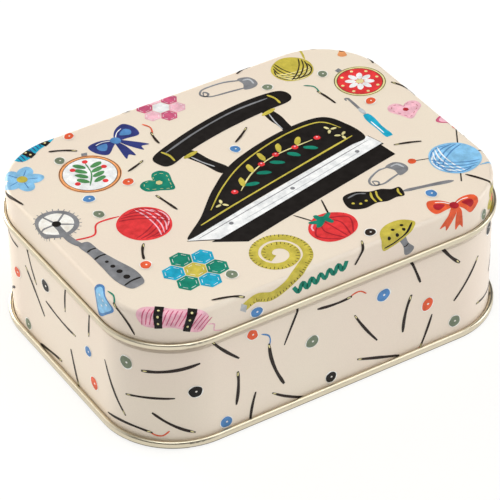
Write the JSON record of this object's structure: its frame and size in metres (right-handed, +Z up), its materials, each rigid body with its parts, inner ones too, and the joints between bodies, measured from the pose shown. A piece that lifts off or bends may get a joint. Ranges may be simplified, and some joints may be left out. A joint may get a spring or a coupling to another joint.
{
  "type": "sewing tin",
  "caption": "Rounded rectangular tinplate box with a slip-on lid, curled rims and a printed finish, for sewing things, papers and keepsakes.",
  "frame": {"origin": "middle of the footprint, on the surface that the tin stands on", "axes": "+X along the tin's long side, +Y to the back, +Z up"},
  "size_m": [0.125, 0.0938, 0.0447],
  "materials": {
    "body_wall": "cream printed lacquer outside, bare tinplate inside",
    "base_plate": "bare tinplate with a pale gold varnish",
    "lid": "cream printed lacquer outside, bare tinplate curl and inside"
  },
  "bodies": {
    "tin": {"body_wall": "body_wall", "base_plate": "base_plate"},
    "lid": {"lid": "lid"}
  },
  "joints": [
    {"name": "lid_lift", "type": "slide", "parent": "tin", "child": "lid", "axis": [0, 0, 1], "range_m": [0, 0.06]}
  ]
}
